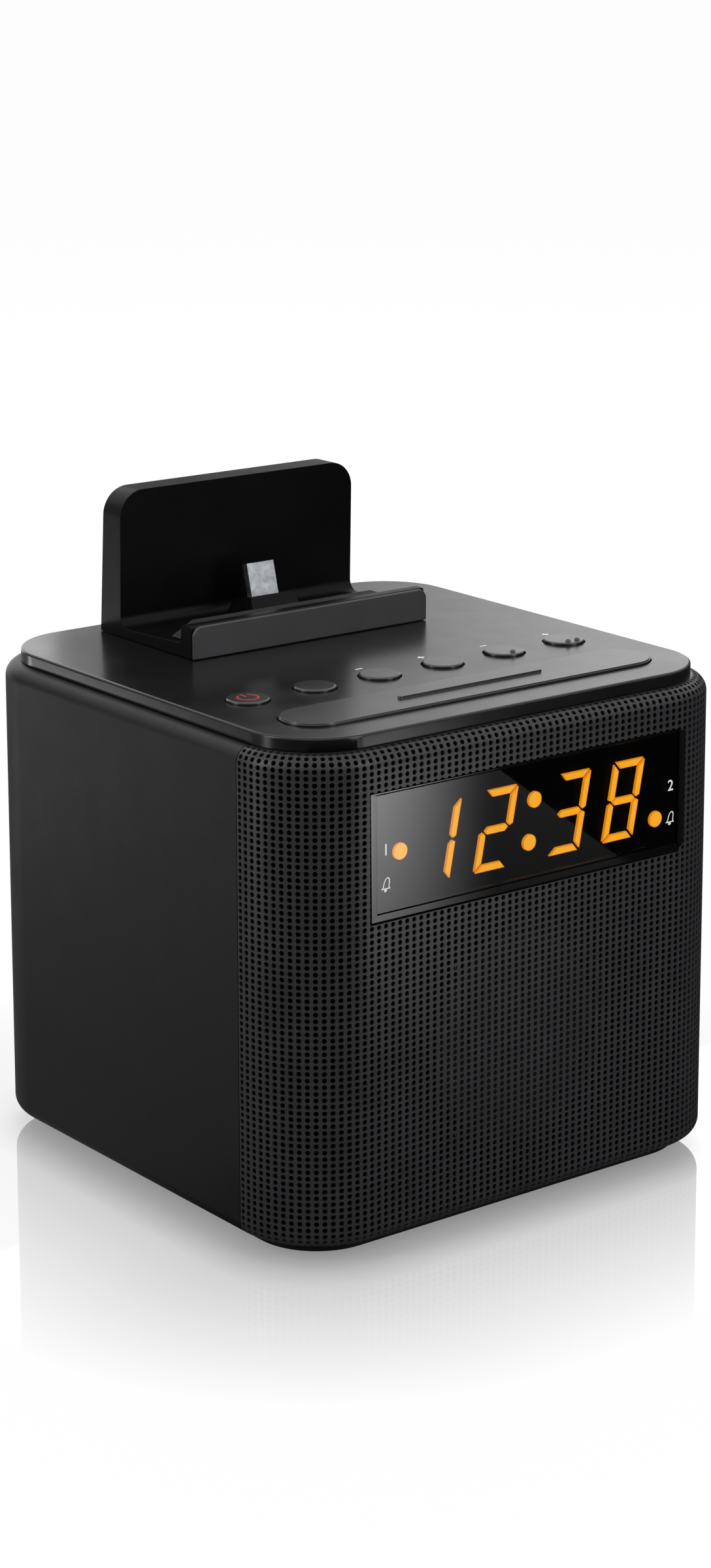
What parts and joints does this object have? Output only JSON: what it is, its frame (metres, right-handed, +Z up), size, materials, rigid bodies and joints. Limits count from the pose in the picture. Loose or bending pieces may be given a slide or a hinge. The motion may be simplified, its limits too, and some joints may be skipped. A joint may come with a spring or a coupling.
{
  "type": "clock radio",
  "caption": "Cube-shaped clock radio with a perforated front, a lit display, a snooze bar, a row of round buttons and a cradle with a connector for a telephone or player.",
  "frame": {"origin": "on the ground under the middle of the body, which is also the middle of the bounding box's bottom", "axes": "+X to the viewer's right, +Y from the front to the back, +Z up; the display and the grille face -Y"},
  "size_m": [0.11, 0.11, 0.1304],
  "materials": {
    "case_plastic": "fine matte",
    "lid_plastic": "soft satin",
    "grille_metal": "satin paint",
    "trim_plastic": "satin",
    "window_plastic": "polished",
    "amber_light": "lit",
    "dark_block": "matte",
    "circuit_board": "satin lacquer",
    "steel": "plated",
    "parts_mixed": "mixed",
    "basket_steel": "plated steel",
    "ferrite": "matte",
    "cone_paper": "pressed paper",
    "soft_rubber": "matte",
    "foam": "foam",
    "brass": "plated"
  },
  "bodies": {
    "radio_body": {"cabinet": "case_plastic", "front_baffle": "case_plastic", "speaker_grille": "grille_metal", "display_bezel": "trim_plastic", "display_window": "window_plastic", "led_display": "dark_block", "led_segments": "amber_light", "display_board": "circuit_board", "top_panel": "lid_plastic", "key_board": "circuit_board", "tact_switches": "steel", "key_board_screws": "steel", "cradle": "case_plastic", "cradle_front_plate": "trim_plastic", "cradle_pad": "soft_rubber", "connector_boot": "case_plastic", "connector_plug": "steel", "dock_board": "circuit_board", "cradle_screws": "steel", "speaker_basket": "basket_steel", "speaker_gasket": "foam", "speaker_magnet": "ferrite", "pole_piece": "steel", "speaker_surround": "soft_rubber", "speaker_screws": "steel", "main_board": "circuit_board", "board_parts": "parts_mixed", "board_screws": "steel", "socket_panel": "trim_plastic", "dc_socket": "dark_block", "audio_socket": "dark_block", "usb_socket": "steel", "aerial_gland": "dark_block", "base_plate": "case_plastic", "base_screws": "steel", "rubber_feet": "soft_rubber", "battery_door": "case_plastic", "battery_screw": "steel", "coin_cell": "steel", "battery_contacts": "brass"},
    "snooze_bar": {"snooze_bar": "lid_plastic"},
    "power_button": {"power_button": "lid_plastic"},
    "preset_button": {"preset_button": "lid_plastic"},
    "tune_down_button": {"tune_down_button": "lid_plastic"},
    "tune_up_button": {"tune_up_button": "lid_plastic"},
    "volume_down_button": {"volume_down_button": "lid_plastic"},
    "volume_up_button": {"volume_up_button": "lid_plastic"},
    "cone_assembly": {"speaker_cone": "cone_paper", "dust_cap": "cone_paper"}
  },
  "joints": [
    {"name": "snooze_bar_press", "type": "slide", "parent": "radio_body", "child": "snooze_bar", "axis": [0, 0, -1], "range_m": [0, 0.0008], "stiffness_N_per_m": 900, "springref_m": -0.0006},
    {"name": "power_button_press", "type": "slide", "parent": "radio_body", "child": "power_button", "axis": [0, 0, -1], "range_m": [0, 0.0005], "stiffness_N_per_m": 800, "springref_m": -0.0004},
    {"name": "preset_button_press", "type": "slide", "parent": "radio_body", "child": "preset_button", "axis": [0, 0, -1], "range_m": [0, 0.0005], "stiffness_N_per_m": 800, "springref_m": -0.0004},
    {"name": "tune_down_button_press", "type": "slide", "parent": "radio_body", "child": "tune_down_button", "axis": [0, 0, -1], "range_m": [0, 0.0005], "stiffness_N_per_m": 800, "springref_m": -0.0004},
    {"name": "tune_up_button_press", "type": "slide", "parent": "radio_body", "child": "tune_up_button", "axis": [0, 0, -1], "range_m": [0, 0.0005], "stiffness_N_per_m": 800, "springref_m": -0.0004},
    {"name": "volume_down_button_press", "type": "slide", "parent": "radio_body", "child": "volume_down_button", "axis": [0, 0, -1], "range_m": [0, 0.0005], "stiffness_N_per_m": 800, "springref_m": -0.0004},
    {"name": "volume_up_button_press", "type": "slide", "parent": "radio_body", "child": "volume_up_button", "axis": [0, 0, -1], "range_m": [0, 0.0005], "stiffness_N_per_m": 800, "springref_m": -0.0004},
    {"name": "cone_throw", "type": "slide", "parent": "radio_body", "child": "cone_assembly", "axis": [0, -1, 0], "range_m": [-0.0008, 0.0008], "stiffness_N_per_m": 1200}
  ]
}
